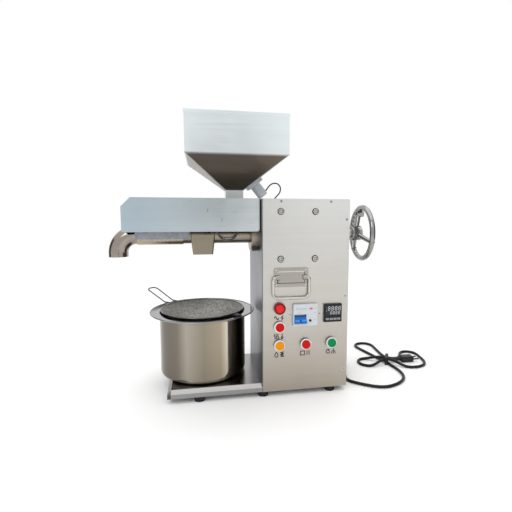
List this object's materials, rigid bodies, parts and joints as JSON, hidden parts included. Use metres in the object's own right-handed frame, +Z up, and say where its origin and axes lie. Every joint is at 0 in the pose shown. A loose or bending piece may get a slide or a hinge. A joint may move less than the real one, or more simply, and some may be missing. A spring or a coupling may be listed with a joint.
{
  "type": "screw oil press",
  "caption": "Countertop screw oil press: steel cabinet with worm drive and handwheel, heated barrel under a square hopper, oil pot with strainer, push buttons and lift handles.",
  "frame": {"origin": "centre of the machine's bounding box at floor level, cord left out", "axes": "X along the press axis from the cake outlet to the handwheel, Y from the control front to the back, Z up"},
  "size_m": [0.9299, 0.3775, 0.711],
  "materials": {
    "cabinet_steel": "horizontally brushed stainless sheet",
    "cover_steel": "brushed stainless sheet",
    "hopper_steel": "brushed stainless sheet",
    "polished_steel": "mirror-polished stainless steel",
    "barrel_steel": "turned steel",
    "heater_steel": "stainless band",
    "shield_steel": "galvanised sheet",
    "handle_steel": "pressed steel, zinc plated",
    "fastener_steel": "zinc plated",
    "shaft_steel": "machined steel",
    "bearing_steel": "ground steel",
    "mesh_steel": "woven stainless wire",
    "wire_steel": "polished wire",
    "wheel_chrome": "chrome plated",
    "gearbox_alloy": "die cast alloy",
    "worm_bronze": "cut bronze",
    "motor_paint": "grey enamel",
    "vibrator_grey": "grey enamel",
    "capacitor_can": "drawn can",
    "foot_rubber": "moulded rubber",
    "cord_black": "smooth sheath",
    "lead_braid": "braided sleeve",
    "black_plastic": "fine matt",
    "bezel_silver": "satin silver",
    "lamp_red": "clear red lens",
    "button_red": "moulded",
    "button_yellow": "moulded",
    "button_green": "moulded",
    "breaker_white": "moulded",
    "toggle_blue": "moulded",
    "controller_black": "fine matt",
    "key_grey": "moulded",
    "plug_grey": "moulded"
  },
  "bodies": {
    "machine": {"base_pan": "cabinet_steel", "rubber_feet": "foot_rubber", "wrap_panel": "cabinet_steel", "service_cover": "cabinet_steel", "panel_screws": "fastener_steel", "handle_plates": "handle_steel", "handle_rivets": "fastener_steel", "control_bezels": "bezel_silver", "contact_blocks": "black_plastic", "power_lamp": "lamp_red", "breaker_body": "breaker_white", "controller_case": "controller_black", "gearbox_housing": "gearbox_alloy", "gearbox_cover": "gearbox_alloy", "gearbox_bearings": "bearing_steel", "gearbox_bolts": "fastener_steel", "output_flange": "gearbox_alloy", "motor_housing": "motor_paint", "run_capacitor": "capacitor_can", "press_barrel": "barrel_steel", "choke_ring": "barrel_steel", "cake_elbow": "polished_steel", "heater_band": "heater_steel", "heater_lead": "lead_braid", "heat_shield": "shield_steel", "barrel_collar": "barrel_steel", "oil_chute": "cover_steel", "press_cover": "cover_steel", "feed_neck": "cover_steel", "hopper": "hopper_steel", "vibrator_flange": "vibrator_grey", "vibrator_can": "vibrator_grey", "vibrator_lead": "cord_black", "cable_gland": "black_plastic", "mains_cord": "cord_black", "cord_hank": "cord_black", "cord_tie": "black_plastic", "mains_plug": "plug_grey"},
    "drive_line": {"main_shaft": "shaft_steel", "worm_wheel": "worm_bronze", "press_screw": "shaft_steel", "handwheel": "wheel_chrome"},
    "rotor": {"worm_shaft": "shaft_steel", "motor_rotor": "shaft_steel", "motor_fan": "black_plastic"},
    "front_bail": {"front_bail": "handle_steel"},
    "rear_bail": {"rear_bail": "handle_steel"},
    "heat_button": {"heat_button": "button_red"},
    "press_button": {"press_button": "button_yellow"},
    "stop_button": {"stop_button": "button_red"},
    "clean_button": {"clean_button": "button_green"},
    "breaker_toggle": {"breaker_toggle": "toggle_blue"},
    "breaker_test_button": {"breaker_test_button": "black_plastic"},
    "set_key": {"set_key": "key_grey"},
    "shift_key": {"shift_key": "key_grey"},
    "down_key": {"down_key": "key_grey"},
    "up_key": {"up_key": "key_grey"},
    "pot": {"pot": "polished_steel"},
    "strainer": {"strainer_mesh": "mesh_steel", "strainer_frame": "wire_steel"}
  },
  "joints": [
    {"name": "screw_spin", "type": "hinge", "parent": "machine", "child": "drive_line", "pos_m": [0.12815, -0.04714, 0.422], "axis": [1, 0, 0], "continuous": true},
    {"name": "rotor_spin", "type": "hinge", "parent": "machine", "child": "rotor", "pos_m": [0.12815, 0.02786, 0.25], "axis": [0, 0, 1], "continuous": true},
    {"name": "front_bail_swing", "type": "hinge", "parent": "machine", "child": "front_bail", "pos_m": [0.11015, -0.14214, 0.315], "axis": [-1, 0, 0], "range_deg": [0, 90]},
    {"name": "rear_bail_swing", "type": "hinge", "parent": "machine", "child": "rear_bail", "pos_m": [0.19115, 0.11186, 0.315], "axis": [1, 0, 0], "range_deg": [0, 90]},
    {"name": "heat_press", "type": "slide", "parent": "machine", "child": "heat_button", "axis": [0, 1, 0], "range_m": [0, 0.0035], "stiffness_N_per_m": 800},
    {"name": "press_press", "type": "slide", "parent": "machine", "child": "press_button", "axis": [0, 1, 0], "range_m": [0, 0.0035], "stiffness_N_per_m": 800},
    {"name": "stop_press", "type": "slide", "parent": "machine", "child": "stop_button", "axis": [0, 1, 0], "range_m": [0, 0.0035], "stiffness_N_per_m": 800},
    {"name": "clean_press", "type": "slide", "parent": "machine", "child": "clean_button", "axis": [0, 1, 0], "range_m": [0, 0.0035], "stiffness_N_per_m": 800},
    {"name": "toggle_throw", "type": "hinge", "parent": "machine", "child": "breaker_toggle", "pos_m": [0.13365, -0.13714, 0.207], "axis": [-1, 0, 0], "range_deg": [0, 72]},
    {"name": "test_press", "type": "slide", "parent": "machine", "child": "breaker_test_button", "axis": [0, 1, 0], "range_m": [0, 0.0015], "stiffness_N_per_m": 600},
    {"name": "set_press", "type": "slide", "parent": "machine", "child": "set_key", "axis": [0, 1, 0], "range_m": [0, 0.0008], "stiffness_N_per_m": 600},
    {"name": "shift_press", "type": "slide", "parent": "machine", "child": "shift_key", "axis": [0, 1, 0], "range_m": [0, 0.0008], "stiffness_N_per_m": 600},
    {"name": "down_press", "type": "slide", "parent": "machine", "child": "down_key", "axis": [0, 1, 0], "range_m": [0, 0.0008], "stiffness_N_per_m": 600},
    {"name": "up_press", "type": "slide", "parent": "machine", "child": "up_key", "axis": [0, 1, 0], "range_m": [0, 0.0008], "stiffness_N_per_m": 600},
    {"name": "pot_lift", "type": "slide", "parent": "machine", "child": "pot", "axis": [0, -0.9, 0.4359], "range_m": [0, 0.335]},
    {"name": "strainer_lift", "type": "slide", "parent": "pot", "child": "strainer", "axis": [0, 0, 1], "range_m": [0, 0.095]}
  ],
  "couplings": [
    {"joint": "rotor_spin", "follows": "screw_spin", "ratio": -20}
  ]
}
